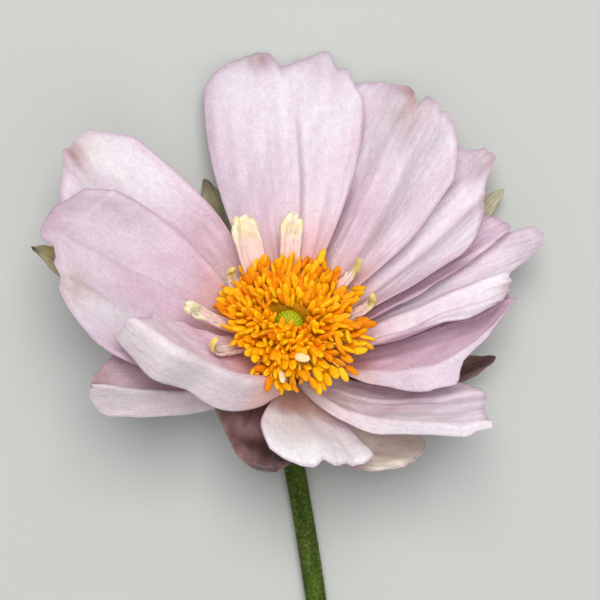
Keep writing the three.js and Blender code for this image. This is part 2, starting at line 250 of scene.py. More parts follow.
TEPALS = [
    # First tepal: its white patch is a painted highlight, and its grey-mauve and dusky patches are painted
    # shade on the left half, the left margin and the top.
    tepal(101, 36, (11, 10.2), 1.2, (60, 58, 58, 66, 77), (45, 30, 15, 0), twist=(-8, -8), widest=0.8,
        narrow=0.05, shoulder=(0.14, 0.2), square=4,
        margin=((-90, 0), (-78, 1.2), (-68, -3), (-64, -1.2), (-60, 3.6), (-50, 1.8), (-30, -1.6),
            (-10, -3.4), (6, -5), (20, 0.6), (32, 1.4), (60, 0)),
        pleats=((10, 50, 12, -70, 5, 70), (-70, -55, 8, -40, 5, 60), (60, 50, 28, 100, 35, 100),
            (-55, -50, 20, 90, 40, 100), (-5, 5, 16, -60, 30, 100)),
        creases=((-44, -5, -160, 22, 2, 80), (12, 30, 70, 20, 10, 75)),
        waves=((1, 60, 130, 10, 50), (-1, 50, 170, 40, 50)),
        patches=((80, -30, 14, 30, 40, WHITE_AND_PAINTED_LIGHT), (62, 85, 30, 30, 50, LILAC), (66, 100, 40, 12, 60, DUSKY_PAINTED_SHADE),
            (45, 75, 12, 30, 50, GREY_MAUVE_AND_PAINTED_SHADE), (93, -60, 8, 30, 50, LILAC), (98, 30, 6, 60, 80, GREY_MAUVE_AND_PAINTED_SHADE),
            (50, 15, 20, 30, 50, LILAC), (30, -30, 12, 50, 40, ROSE)),
        stains=((98, 33, 3.5, 12, 80), (93, 36, 5, 5, 30))),
    # Its grey-mauve patch near the tip and its darker rose patch lower down are painted shade.
    tepal(68, 35, (11, 10.4), 0.2, (60, 58, 56, 56, 58), (45, 30, 15, 5), twist=(-12, -12), widest=0.75,
        narrow=0.1, shoulder=(0.1, 0.26), notches=((5, 6, 4.5), (-35, 5, 1.5)),
        pleats=((-35, -20, 12, -50, 3, 85), (30, 25, 10, -40, 10, 80), (-60, -60, 20, 70, 30, 100)),
        creases=((-15, 8, 90, 30, 10, 110), (35, 40, 50, 20, 10, 70)), waves=((-1, 60, 150, 20, 40),),
        patches=((84, 10, 14, 50, 65, GREY_MAUVE_AND_PAINTED_SHADE), (90, 5, 8, 30, 40, GREY_BROWN),
            (46, 20, 15, 70, 60, ROSE_PAINTED_SHADE), (94, 50, 6, 40, 40, LILAC)),
        stains=((98.5, 20, 3, 20, 80), (93, 12, 6, 5, 35))),
    # Its lighter tone and white patch are painted light over the shadow of the tepal before it; the
    # grey-mauve patch at its tip is painted shade.
    tepal(46, 34, (8, 9), -0.8, (60, 59, 57, 58, 60), (50, 35, 20, 10), twist=(-14, -16),
        shoulder=(0.15, 0.35), square=2.2,
        margin=((-100, 0), (-85, 0), (-65, -4), (-45, -8), (-28, -9), (-12, -3), (0, 1), (30, 2), (50, 0)),
        pleats=((-30, -35, 14, -80, 5, 110), (0, 10, 10, 40, 5, 80)), creases=((10, 15, -60, 25, 10, 90),),
        waves=((-1, 70, 180, 50, 40),), tone=rgb(240, 229, 236),
        patches=((62, 0, 18, 50, 60, WHITE_AND_PAINTED_LIGHT), (95, 0, 8, 70, 60, GREY_MAUVE_AND_PAINTED_SHADE)),
        stains=((98, 10, 4, 20, 40),)),
    tepal(30, 31, (6, 2.8), -1.75, (61, 61, 60, 61, 61), (50, 40, 20, 10), twist=(-16, -16),
        shoulder=(0.1, 0.45), square=1.6,
        margin=((-100, 0), (-80, -4), (-50, -9), (-20, -5), (0, -1), (20, 0)),
        pleats=((-40, -40, 15, -40, 5, 110),), waves=((-1, 40, 160, 10, 30),), tone=rgb(228, 206, 220)),
    # Its lighter tone is painted light over the shadow of the narrow tepal before it; the grey-mauve patch at
    # its tip is painted shade.
    tepal(18, 33.2, (8, 6.6), -2.75, (63, 62, 60, 59, 58), (50, 40, 30, 20), twist=(-16, -18),
        shoulder=(0, 0.4), square=2,
        margin=((-100, 2), (-80, 2), (-60, -4), (-40, -10), (-20, -14), (0, -14), (15, -10), (30, -3),
            (50, 1), (80, 3), (100, 0)),
        swells=((-1, 0.6, 0.1, -1.6),),
        pleats=((-25, -30, 10, -70, 5, 110), (-60, -60, 10, -60, 20, 110), (10, 0, 10, 50, 5, 100)),
        creases=((-10, 5, 60, 20, 10, 110),), waves=((-1, 80, 220, 30, 40),), tone=rgb(250, 242, 247),
        patches=((96, 50, 9, 60, 60, GREY_MAUVE_AND_PAINTED_SHADE), (94, -40, 10, 30, 40, LILAC)),
        stains=((98, -20, 4, 15, 35),)),
    # Its darker tone is painted shade under the tepal above it, and its lighter lip colour is painted light.
    tepal(12.5, 28.5, (6.5, 12), -3.7, (71, 69, 62, 56, 50), (50, 40, 30, 20), twist=(-14, -14),
        shoulder=(0.1, 0.5), square=1.3,
        margin=((-100, 6), (-88, 10), (-76, 6), (-64, 2), (-30, 2), (0, 0), (6, 3.5), (15, 0)),
        roll=(-1, 0.76, 0.05, 0.1, -78, 0.2, 1.2), bowed=3.5, ridge=1.4,
        pleats=((-20, -5, 10, -30, 10, 90), (30, 30, 12, -50, 10, 100)), waves=((-1, 60, 210, 15, 40),),
        tone=rgb(224, 198, 210), lip=rgb(230, 214, 224)),
    # Its white patch at the root is painted light over the shadow of the boss, and its lighter lip colour is
    # painted light.
    tepal(-25, 26.3, (5, 8.5), -4.5, (90, 76, 60, 57, 59), (50, 30, 8, 0), twist=(-20, -16), bend=22,
        widest=0.95, flare=0.56, shoulder=(0.22, -0.1), square=2, swells=((1, 0.8, 0.2, 2.2),),
        roll=(-1, 0.76, 0.84, 0.08, -70, 0.02, 1.2),
        pleats=((-66, -76, 4.5, -80, -20, 80), (-84, -88, 8, 70, -20, 90), (-30, -25, 16, -30, 10, 110)),
        creases=((20, 30, 60, 30, 10, 110),), waves=((-1, 20, 140, 10, 30), (1, 50, 180, 30, 50)),
        tone=rgb(242, 230, 237), deep=0.25, dust=0.15, lip=rgb(246, 236, 241),
        patches=((20, 0, 16, 100, 80, WHITE_AND_PAINTED_LIGHT),)),
    # Its tone is partly its own white and partly painted light, and its white patch is painted light, over
    # the shadow of the tepal above it.
    tepal(-68, 20.2, (7.6, 6.8), -4.95, (82, 67, 53, 58, 83), (50, 20, -10, -20), twist=(-24, -14),
        shoulder=(0.2, 0.2), margin=((-35, 0), (-10, -5), (10, -1), (30, -4), (50, -2), (62, -4), (75, 0)),
        pleats=((-10, -5, 20, 50, 20, 110), (50, 60, 12, -50, 50, 110)),
        waves=((1, 60, 140, 20, 40), (-1, 50, 110, 60, 40)), rough=0.5, tone=rgb(250, 246, 247), pink=-0.3,
        deep=0.15, dust=0.5, patches=((35, 40, 25, 50, 70, WHITE_AND_PAINTED_LIGHT),)),
    tepal(-46, 21.5, (8.6, 3.4), -6.1, (103, 97, 78, 48, 50), (50, 30, 10, 0), twist=(-6, -8), bend=18,
        claw=1, shoulder=(0.23, 0.17), notches=((35, 8, 4),), pleats=((30, 35, 15, -40, 30, 110),),
        waves=((1, 50, 150, 50, 40),), tone=rgb(252, 244, 222), pink=-0.2, deep=0.3,
        stains=((62, 10, 12, 60, 25),)),
    # Its higher share of pink darkens the inner face, partly its own pink and partly painted shade, and its
    # lip colour is painted light.
    tepal(227, 22.3, (12, 3.5), 1.4, (80, 56, 47, 42, 42), (57, 43, 15, -8), bend=-56, flare=0.3,
        shoulder=(0.05, 0.4), square=1.5, notches=((0, 40, 14),),
        swells=((1, 0.72, 0.08, 1.2), (1, 0.95, 0.1, -1.3), (1, 0.56, 0.06, -0.5)),
        roll=(1, 0.53, 0.55, 0.16, -118, 0, 1.2), pleats=((75, 80, 7, -35, 10, 100),),
        creases=((50, 52, 120, 25, 0, 110),), waves=((1, 50, 180, 10, 10),), pink=0.5,
        lip=rgb(232, 222, 222), lip_pink=0.6),
    # Its darker tone is painted shade under the rolled tepal before it, and its lighter lip colour is painted
    # light.
    tepal(224, 26.5, (4.5, 5.5), -1.8, (82, 74, 66, 62, 60), (50, 40, 30, 20), twist=(0, -8), bend=-15,
        margin=((-100, -6), (-60, -6), (-30, -2), (0, 0)), roll=(1, 0.3, -0.1, 0.25, -90, 0.3, 1.2),
        creases=((30, 0, 100, 30, 20, 120),), waves=((1, 40, 160, 30, 30), (-1, 50, 120, 10, 40)),
        tone=rgb(204, 180, 186), lip=rgb(234, 222, 226), stains=((98, 0, 7, 60, 70),)),
    # Its dusky patches are painted shade on margins that turn away from the light, and its darker rose patch
    # near the root is painted shade.
    tepal(186, 33, (12.2, 10.6), -0.4, (66, 62, 57, 54, 52), (50, 40, 30, 10), twist=(-10, -14),
        shoulder=(0.45, 0.08), square=2,
        margin=((-100, -3), (-70, 0), (-30, 0), (-12, -1), (0, -4), (12, -5.5), (20, -4), (30, -5), (50, -3),
            (80, 0)),
        fold=(-1, 0.8, 0.02, 0.95, 0.75), pleats=((-30, -25, 10, -60, 5, 90), (10, 5, 10, -40, 5, 70)),
        creases=((50, 35, -110, 40, 30, 110), (-35, -20, 70, 30, 10, 100)),
        waves=((-1, 60, 130, 10, 40), (1, 60, 160, 50, 40)), tone=rgb(228, 212, 222),
        patches=((68, 42, 14, 20, 75, MOTTLED), (84, 34, 6, 20, 80, GREY_BROWN),
            (50, 0, 18, 25, 60, SOFT_PINK), (95, -45, 8, 40, 70, LILAC), (82, -80, 16, 16, 55, DUSKY_PAINTED_SHADE),
            (30, -80, 12, 40, 50, ROSE_PAINTED_SHADE), (55, 80, 20, 14, 60, DUSKY_PAINTED_SHADE)),
        stains=((86, 27, 12, 3.5, 30), (97, -50, 6, 30, 25))),
    # Its two white patches are partly its own white and partly painted light, and its darker rose patch lower
    # down is painted shade from the first tepal.
    tepal(160, 36.2, (10, 8.6), -1.8, (63, 61, 58, 54, 50), (50, 40, 20, 5), twist=(-14, -12),
        shoulder=(0.3, 0.13),
        margin=((-100, -3), (-60, 0), (-30, 0), (-10, -1.2), (5, 0), (20, -3), (40, -6), (70, -5), (100, 0)),
        swells=((-1, 0.35, 0.22, 1.3),), pleats=((-30, -10, 12, -50, 5, 90), (30, 35, 12, 60, 10, 100)),
        creases=((5, 20, 60, 30, 10, 110),), waves=((-1, 40, 120, 70, 50), (1, 60, 170, 20, 50)),
        patches=((82, -35, 10, 40, 85, WHITE_AND_PAINTED_LIGHT), (70, -50, 10, 30, 60, WHITE_AND_PAINTED_LIGHT),
            (94, -30, 5, 30, 60, CREAM_WHITE), (40, -70, 12, 50, 70, ROSE_PAINTED_SHADE),
            (100, 20, 6, 60, 60, LILAC)),
        stains=((98, -5, 5, 20, 80), (90, 0, 8, 10, 30))),
]

# Lighter greens for the outer tepals' patches: partly their own colour and partly painted light where they
# lie in shade.
PALE_GREEN_AND_PAINTED_LIGHT = rgb(226, 224, 192)
FRESH_GREEN_AND_PAINTED_LIGHT = rgb(206, 200, 126)
DUSTY_ROSE = rgb(208, 168, 174)
DARK_PLUM = rgb(66, 32, 36)
BROWN_GREEN = rgb(112, 104, 78)
POINTED = dict(shoulder=(0.5, 0.5), square=1.6, cup=(60, 60, 50, 40), claw=0.9, rough=1.5)
OUTER_TEPALS = [
    # Its fresh green patch is lighter than its own green, as painted light on a face that lies in shade.
    dict(POINTED, az=181, length=34, width=(5, 5), root=-3.4, rise=(76, 70, 60, 54, 52),
        green=rgb(124, 132, 64), pale=0.2, tip=0.3,
        patches=((92, -25, 5, 50, 85, FRESH_GREEN_AND_PAINTED_LIGHT), (90, 70, 12, 35, 70, DUSTY_ROSE),
            (100, 0, 3, 100, 90, DARK_PLUM))),
    dict(POINTED, az=126, length=23.5, width=(3.8, 3.8), root=-3.2, rise=(66, 66, 65, 64, 62),
        patches=((80, 0, 30, 100, 50, BROWN_GREEN),)),
    # Its pale green patch is lighter than its own colour, as painted light where it lies in the shadow of the
    # tepals above.
    dict(POINTED, az=42.5, length=35, width=(4.6, 4), root=-4.6, rise=(77, 69, 59, 53, 52),
        cup=(40, 40, 40, 40), twist=(10, 6), pale=0.9, tip=0.2, patches=((90, 0, 30, 100, 35, PALE_GREEN_AND_PAINTED_LIGHT),)),
    dict(POINTED, az=6, length=26.5, width=(4, 4), root=-5.6, rise=(98, 90, 76, 54, 44), plum=0.9,
        green=rgb(110, 120, 50), patches=((90, 0, 30, 100, 50, DARK_PLUM),)),
    dict(POINTED, az=270, length=20.3, width=(3.8, 10.6), root=-6.1, rise=(94, 86, 66, 45, 28), flare=0.45,
        shoulder=(0.3, 0.64), square=0.95,
        margin=((-100, 0), (-80, -10), (-50, -16), (-20, -10), (0, -2), (30, 0)), plum=1,
        patches=((34, -48, 9, 22, 90, DUSTY_ROSE), (49, -20, 7, 20, 90, DARK_PLUM),
            (57, 20, 8, 16, 70, BROWN_GREEN), (64, 65, 10, 25, 90, DARK_PLUM))),
]

STRAP = dict(shoulder=(0.09, 0.09), square=5, claw=0.5, widest=0.75, flare=1.4, rough=0.8, bulb=0.9,
    margin=((-95, 2), (-70, -3), (-40, 2), (0, -2), (30, 2), (65, -3), (95, 1)),
    pleats=((0, 0, 30, -30, 10, 80), (-50, -40, 20, 35, 80, 120), (35, 50, 20, 35, 80, 120)),
    swells=((1, 0.9, 0.09, 0.06), (-1, 0.9, 0.09, 0.06)))
HOOK = dict(STRAP, swells=(), bulb=0.2, shoulder=(0.35, 0.35), square=1.8)
STAMINODES = [
    dict(kind, az=az, length=length, width=(half, half), root=root, rise=rise, cup=cup)
    for kind, az, length, half, root, rise, cup in (
        (STRAP, 131, 14.2, 2.1, 2.2, (56, 50, 44, 40, 30), (30, 40, 60, 70)),
        (STRAP, 99, 13.4, 1.5, 2.3, (56, 50, 44, 40, 30), (30, 40, 60, 70)),
        (HOOK, 46, 12, 0.75, 2.15, (56, 48, 42, 44, -20), (20, 30, 40, 40)),
        (HOOK, 17, 11.6, 0.75, 2, (58, 54, 46, 36, -40), (20, 30, 40, 40)),
        (STRAP, 197, 12.8, 1.3, 2.55, (66, 60, 55, 50, 40), (40, 60, 80, 90)),
        (HOOK, 222, 12.2, 0.75, 2.7, (68, 66, 62, 40, -60), (20, 30, 30, 30)),
        (HOOK, 155, 10.2, 0.9, 2.3, (58, 54, 46, 30, -50), (20, 30, 30, 30)),
    )
]

MIDRIB_STEPS = 80
MIDRIB_REACH = 1.08  # the midrib runs on a little beyond the tip
SECTION_STEPS = 14


def midrib(blade):
    """Stations from root to tip, and the midrib's points, the ways across and the normals there."""
    s = np.arange(MIDRIB_STEPS + 1) / MIDRIB_STEPS * MIDRIB_REACH
    rise = np.radians(spline(blade["rise"], s))
    twist = np.radians(spline(blade.get("twist", (0, 0)), s))[:, None]
    bend = (np.radians(blade.get("bend", 0)) * np.minimum(s, 1))[:, None]
    none = np.zeros_like(s)
    outwards = np.stack([np.sin(rise), none, np.cos(rise)], -1)
    inwards = np.stack([-np.cos(rise), none, np.sin(rise)], -1)
    aside = np.stack([none, none + 1, none], -1)
    along = outwards * np.cos(bend) + aside * np.sin(bend)
    across = aside * np.cos(bend) - outwards * np.sin(bend)
    points = np.zeros((MIDRIB_STEPS + 1, 3))
    points[0] = (ROOT_RADIUS, 0, blade["root"])
    step = blade["length"] * MIDRIB_REACH / MIDRIB_STEPS
    points[1:] = points[0] + np.cumsum(along[:-1] * step, axis=0)
    turned_across = across * np.cos(twist) + inwards * np.sin(twist)
    normal = inwards * np.cos(twist) - across * np.sin(twist)
    return s, points, turned_across, normal


def shares(blade, key):
    """The rows under one key, from percent."""
    return np.array(blade.get(key, ())) / 100


def on_side(v, side, value):
    """The value on one side of the midrib and 0 on the other."""
    return np.where((v > 0) == (side > 0), value, 0)


def outline_end(blade, v, seed):
    """s at which the outline ends, across the blade."""
    left, right = blade.get("shoulder", (0.16, 0.16))
    end = 1 - np.where(v > 0, left, right) * np.abs(v) ** blade.get("square", 3)
    for centre, width, depth in shares(blade, "notches"):
        end = end - depth * hill(v, centre, width)
    if "margin" in blade:
        where, shift = shares(blade, "margin").T
        end = end + np.interp(v, where, shift, 0, 0)
    return end + 0.004 * ripple(v * 2.2, v * 0, seed + 50, 5, 0.8, 3)


def half_width(blade, v, s, seed):
    widest = blade.get("widest", 0.68)
    claw = blade.get("claw", CLAW)
    swell = np.sin(math.pi / 2 * np.minimum(s / widest, 1)) ** blade.get("flare", 0.95)
    taper = 1 - blade.get("narrow", 0.15) * np.clip((s - widest) / (1 - widest), 0, 1) ** 2
    left, right = blade["width"]
    half = (claw + (np.where(v > 0, left, right) - claw) * swell) * taper
    uneven = ripple(s * 1.5, np.sign(v) * 3.7, seed + 60, 4, 0.8, 2.5)
    half = half * (1 + 0.012 * uneven * smooth(0.2, 0.5, s))
    for side, at_s, reach, more in blade.get("swells", ()):
        half = half + on_side(v, side, more * hill(s, at_s, reach))
    return half


def ridge_line(blade, s):
    """v of the ridge over which a margin is rolled."""
    at_root, at_tip = blade["roll"][1:3]
    return at_root + (at_tip - at_root) * s ** blade.get("bowed", 1)


def section(blade, v, s):
    """How far out and up the cupped and rolled section goes, in steps of one length."""
    cup = spline(blade["cup"], s)
    out = np.zeros_like(s)
    lift = np.zeros_like(s)
    for i in range(SECTION_STEPS):
        q = np.abs(v) * (i + 0.5) / SECTION_STEPS
        angle = cup * q
        if "roll" in blade:
            side, _, _, soft, turn, begin, finish = blade["roll"]
            rolled = smooth(0, 1, (q - ridge_line(blade, s)) / soft)
            along = stretch(s, begin, finish, 0.12, 0.12, 0.12)
            angle = angle + on_side(v, side, turn * rolled * along)
        out += np.cos(np.radians(angle))
        lift += np.sin(np.radians(angle))
    return out, lift


def relief(blade, v, s, seed):
    """Pleats, creases, waves, folds and unevenness, as height above the section."""
    a = np.abs(v)
    lift = np.zeros_like(s)
    for at_root, at_tip, width, depth, begin, finish in shares(blade, "pleats"):
        centre = at_root + (at_tip - at_root) * s
        lift += depth * hill(v, centre, width) * stretch(s, begin, finish, 0.05, 0.2, 0.2)
    for at_root, at_tip, step, reach, begin, finish in shares(blade, "creases"):
        off = v - at_root - (at_tip - at_root) * s
        crease = step / 2 * np.tanh(off / 0.03) * np.exp(-np.abs(off) / reach)
        lift += crease * stretch(s, begin, finish, 0.05, 0.2, 0.25)
    if "ridge" in blade:
        off = ridge_line(blade, s) - 0.02 - a
        along = smooth(0.05, 0.25, s) * (1 - smooth(0.75, 1, s))
        step = on_side(v, blade["roll"][0], blade["ridge"] * along)
        lift -= step / 2 * (1 + np.tanh(off / 0.035)) * np.exp(-np.maximum(off, 0) / 0.3)
    for side, depth, count, phase, begin in shares(blade, "waves"):
        along = smooth(begin, begin + 0.3, s) * on_side(v, side, smooth(0.45, 1, a))
        lift += depth * np.sin(2 * math.pi * (count * s + phase)) * along
    if "fold" in blade:
        v_from, s_from, v_to, s_to, slope = blade["fold"]
        line = s_from + (s_to - s_from) * (v - v_from) / (v_to - v_from)
        over = np.maximum(s - line, 0) * (1 - smooth(v_to - 0.1, v_to + 0.1, v))
        lift -= slope * blade["length"] * over * smooth(0, 0.03, over)
    uneven = 0.12 * ripple(v * 1.2, s * 2.2, seed, 7) + 0.035 * ripple(v * 5, s * 4, seed + 1, 8)
    return lift + uneven * smooth(0.1, 0.4, s) * blade.get("rough", 1)


def surface(blade, u, v, seed):
    """The middle surface in the head's frame, and s of each point."""
    s = u * outline_end(blade, v, seed)
    step = half_width(blade, v, s, seed) * np.abs(v) / SECTION_STEPS
    out, lift = section(blade, v, s)
    out = out * step * np.sign(v)
    lift = lift * step + relief(blade, v, s, seed)
    stations, points, across, normal = midrib(blade)

    def at(values):
        return np.stack([np.interp(s, stations, values[:, k]) for k in range(3)], -1)

    p = at(points) + at(across) * out[..., None] + at(normal) * lift[..., None]
    return p @ turned(blade["az"]).T, s


def twice(grid):
    """A grid's values for the inner points of a sheet and again for the outer ones."""
    return np.concatenate([grid.ravel(), grid.ravel()])


def blade_arrays(blade, seed, rows, columns, thickness, edge):
    """A closed sheet: points, faces, and u, v, s and face (0 inside, 1 outside) of each point."""
    u = np.linspace(0, 1, rows + 1)
    v = np.linspace(-1, 1, columns + 1)
    grid_u, grid_v = np.meshgrid(u, v, indexing="ij")
    middle, s = surface(blade, grid_u, grid_v, seed)
    normal = np.cross(np.gradient(middle, axis=0), np.gradient(middle, axis=1))
    normal = normal / np.maximum(np.linalg.norm(normal, axis=-1, keepdims=True), 1e-9)
    rim = np.minimum(smooth(0, 0.1, 1 - np.abs(grid_v)), smooth(0, 0.06, 1 - grid_u))
    half = thickness / 2 * (edge + (1 - edge) * rim)
    thicker_tip = blade.get("bulb", 0) * smooth(0.76, 0.86, s)
    half = half * (1 + 0.6 * (1 - smooth(0, 0.25, grid_u)) + thicker_tip)
    off = normal * half[..., None]
    points = place(np.concatenate([(middle + off).reshape(-1, 3), (middle - off).reshape(-1, 3)]))
    sunk = np.maximum(LOWEST + 0.3 - place(middle)[..., 2], 0)
    points[:, 2] = np.maximum(points[:, 2] + twice(sunk), LOWEST)
    w = columns + 1
    n = w * (rows + 1)
    faces = []
    for i in range(rows):
        for j in range(columns):
            a = i * w + j
            faces.append((a, a + w, a + w + 1, a + 1))
            faces.append((a + n, a + 1 + n, a + w + 1 + n, a + w + n))
    ring = list(range(columns)) + [i * w + columns for i in range(rows)]
    ring += [rows * w + j for j in range(columns, 0, -1)] + [i * w for i in range(rows, 0, -1)]
    for a, b in zip(ring, ring[1:] + ring[:1]):
        faces.append((a, b, b + n, a + n))
    face = np.concatenate([np.zeros(n), np.ones(n)])
    return points, faces, twice(grid_u), twice(grid_v), twice(s), face


# The materials
GRAIN = 900  # noise scale on the object, per metre
DIMPLES = 2600


def node_material(name, roughness, **inputs):
    material = bpy.data.materials.new(name)
    material.use_nodes = True
    tree = material.node_tree
    shader = tree.nodes["Principled BSDF"]
    for key, value in dict(inputs, Roughness=roughness).items():
        shader.inputs[key.replace("_", " ")].default_value = value
    return material, tree, shader


def add(tree, kind, **values):
    """A node with its settings and inputs by name, with _ for a space."""
    node = tree.nodes.new("ShaderNode" + kind)
    for key, value in values.items():
        label = key.replace("_", " ")
        if label in node.inputs:
            node.inputs[label].default_value = value
        else:
            setattr(node, key, value)
    return node


def link(output, socket):
    socket.id_data.links.new(output, socket)


def attribute(tree, name, output):
    return add(tree, "Attribute", attribute_name=name).outputs[output]


def streaks(tree, scale, detail, rough=0.5):
    """Noise along the veins, on the piece's own coordinates."""
    mapping = add(tree, "Mapping", Scale=scale)
    link(attribute(tree, "vein", "Vector"), mapping.inputs["Vector"])
    noise = add(tree, "TexNoise", Scale=1, Detail=detail, Roughness=rough)
    link(mapping.outputs["Vector"], noise.inputs["Vector"])
    return noise.outputs["Fac"]


def object_noise(tree, scale, detail):
    noise = add(tree, "TexNoise", Scale=scale, Detail=detail)
    where = add(tree, "TexCoord")
    link(where.outputs["Object"], noise.inputs["Vector"])
    return noise.outputs["Fac"]


def between(tree, value, low, high, to_low, to_high):
    node = add(tree, "MapRange", From_Min=low, From_Max=high, To_Min=to_low, To_Max=to_high)
    link(value, node.inputs["Value"])
    return node.outputs["Result"]


def times(tree, a, b):
    node = add(tree, "Math", operation="MULTIPLY")
    link(a, node.inputs[0])
    link(b, node.inputs[1])
    return node.outputs[0]


def vector_math(tree, operation, first, second, socket=1):
    """first is an output or a fixed vector, second an output."""
    node = add(tree, "VectorMath", operation=operation)
    if isinstance(first, tuple):
        node.inputs[0].default_value = first
    else:
        link(first, node.inputs[0])
    link(second, node.inputs[socket])
    return node.outputs["Vector"]


def shaded(tree, colour, factor):
    return vector_math(tree, "SCALE", colour, factor, "Scale")


def stained(tree, colour, factor, loss):
    """Takes a little of each light colour away where the factor is high."""
    rest = vector_math(tree, "SUBTRACT", (1, 1, 1), shaded(tree, loss, factor))
    return vector_math(tree, "MULTIPLY", colour, rest)


def bumps(tree, shader, layers):
    """layers are (height, distance in metres, strength)."""
    last = None
    for height, distance, strength in layers:
        bump = add(tree, "Bump", Distance=distance, Strength=strength)
        link(height, bump.inputs["Height"])
        if last is not None:
            link(last, bump.inputs["Normal"])
        last = bump.outputs["Normal"]
    link(last, shader.inputs["Normal"])


def tepal_material():
    """Faint broad streaks, veins that are stronger near the root, a fine grain and dimples."""
    material, tree, shader = node_material(
        "tepal skin", 0.5, Subsurface_Weight=0.15, Subsurface_Scale=0.001, Sheen_Weight=0.1,
        Sheen_Roughness=0.5, Subsurface_Radius=(1, 0.55, 0.65))
    broad = streaks(tree, (7, 0.08, 1), 2)
    veins = streaks(tree, (34, 0.35, 1), 5, 0.65)
    grain = object_noise(tree, GRAIN, 5)
    dimples = object_noise(tree, DIMPLES, 3)
    split = add(tree, "SeparateXYZ")
    link(attribute(tree, "vein", "Vector"), split.inputs["Vector"])
    near_root = between(tree, split.outputs["Y"], 6, 26, 2.1, 0.8)
    vein_factor = times(tree, between(tree, veins, 0.45, 0.75, 0, 1), near_root)
    colour = attribute(tree, "tint", "Color")
    colour = stained(tree, colour, between(tree, broad, 0.4, 0.75, 0, 1), (0.02, 0.055, 0.03))
    colour = stained(tree, colour, vein_factor, (0.05, 0.085, 0.06))
    colour = stained(tree, colour, between(tree, grain, 0.35, 0.7, -0.3, 1), (0.055, 0.075, 0.055))
    colour = stained(tree, colour, between(tree, dimples, 0.38, 0.66, -0.6, 1), (0.06, 0.065, 0.05))
    link(colour, shader.inputs["Base Color"])
    link(between(tree, veins, 0.3, 0.7, 0.48, 0.62), shader.inputs["Roughness"])
    bumps(tree, shader, [(veins, 0.00018, 0.5), (grain, 0.0001, 0.5), (dimples, 0.00012, 0.6)])
    return material


def outer_material():
    material, tree, shader = node_material("outer tepal skin", 0.65, Sheen_Weight=0.25, Sheen_Roughness=0.4)
    veins = streaks(tree, (14, 0.2, 1), 3)
    grain = object_noise(tree, GRAIN, 4)
    factor = times(tree, between(tree, veins, 0.3, 0.7, 0.8, 1.18), between(tree, grain, 0.3, 0.7, 0.88, 1.1))
    link(shaded(tree, attribute(tree, "tint", "Color"), factor), shader.inputs["Base Color"])
    link(between(tree, grain, 0.3, 0.7, 0.55, 0.75), shader.inputs["Roughness"])
    bumps(tree, shader, [(veins, 0.0003, 0.7), (grain, 0.00015, 0.5)])
    return material


def grained_material(name, roughness, low, high, scale, depth, **inputs):
    """A fine grain in colour, roughness and height."""
    material, tree, shader = node_material(name, roughness, **inputs)
    grain = object_noise(tree, scale, 4)
    factor = between(tree, grain, 0.3, 0.7, low, high)
    rough = between(tree, grain, 0.3, 0.7, roughness - 0.08, roughness + 0.1)
    link(shaded(tree, attribute(tree, "tint", "Color"), factor), shader.inputs["Base Color"])
    link(rough, shader.inputs["Roughness"])
    bumps(tree, shader, [(grain, depth, 0.6)])
    return material


TEPAL_SKIN = tepal_material()
OUTER_SKIN = outer_material()
STAMINODE_SKIN = grained_material("staminode skin", 0.5, 0.95, 1.04, 1500, 0.0001,
                                  Subsurface_Weight=0.2, Subsurface_Scale=0.001)
STAMEN_SKIN = grained_material("stamen skin", 0.5, 0.84, 1.14, 3500, 0.00008, Specular_IOR_Level=0.2)
CARPEL_SKIN = grained_material("carpel skin", 0.4, 0.9, 1.1, 3000, 0.00008, Specular_IOR_Level=0.3)
STEM_SKIN = grained_material("stem skin", 0.65, 0.55, 1.6, 2600, 0.0002, Specular_IOR_Level=0.12)

# The tepals
PALE = rgb(235, 224, 231)
PINK = rgb(230, 198, 214)
DEEP = rgb(238, 184, 190)
BACK = rgb(226, 188, 206)
EDGE = rgb(178, 132, 160)
STAIN = rgb(168, 128, 124)
DUST = rgb(228, 160, 90)
TEPAL_THICK = 0.34  # in the middle
TEPAL_GRID = ((100, 84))


def spotted(tint, places, along, v, mottle):
    """Soft spots. places are (along, v, height, width, depth, colour), in percent."""
    for *place_at, colour in places:
        at, at_v, high, wide, depth = np.array(place_at) / 100
        near = hill(along, at, high) * hill(v, at_v, wide) * mottle
        tint = mix(tint, colour, np.clip(depth * near, 0, 1))
    return tint


# Mixes in the patches: the skin's own tints, and painted shade and painted light where a patch's colour is
# one of those.
def patched(tint, blade, seed, v, s):
    mottle = np.clip(0.9 + 0.3 * ripple(v * 2.2, s * 3, seed + 21), 0, 1.15)
    return spotted(tint, blade.get("patches", ()), s, v, mottle)


